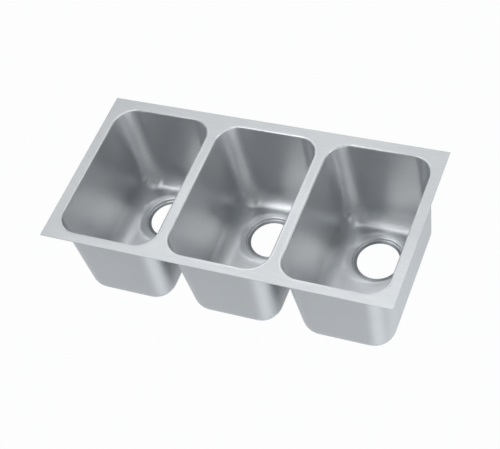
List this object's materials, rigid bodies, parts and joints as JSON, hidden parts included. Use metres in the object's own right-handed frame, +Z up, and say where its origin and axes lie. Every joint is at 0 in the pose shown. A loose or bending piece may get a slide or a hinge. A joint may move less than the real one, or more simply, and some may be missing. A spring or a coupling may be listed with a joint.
{
  "type": "three compartment sink",
  "caption": "Stainless sink unit with a row of deep rounded rectangular bowls welded flush into one flat deck plate, each with a bare drain hole in a pressed seat.",
  "frame": {"origin": "on the floor plane under the middle of the deck; the drain seats stand on the plane", "axes": "+X along the row of bowls, +Y towards the rear, where the drains are nearer, +Z up"},
  "size_m": [0.735, 0.376, 0.224],
  "materials": {
    "deck_sheet": "satin, fine grain along the deck",
    "drawn_sheet": "satin, polished along the bowl's walls",
    "weld": "ground flush on top, as welded underneath"
  },
  "bodies": {
    "root": {"deck_plate": "deck_sheet", "left_bowl": "drawn_sheet", "left_rim_weld": "weld", "centre_bowl": "drawn_sheet", "centre_rim_weld": "weld", "right_bowl": "drawn_sheet", "right_rim_weld": "weld"}
  },
  "joints": []
}
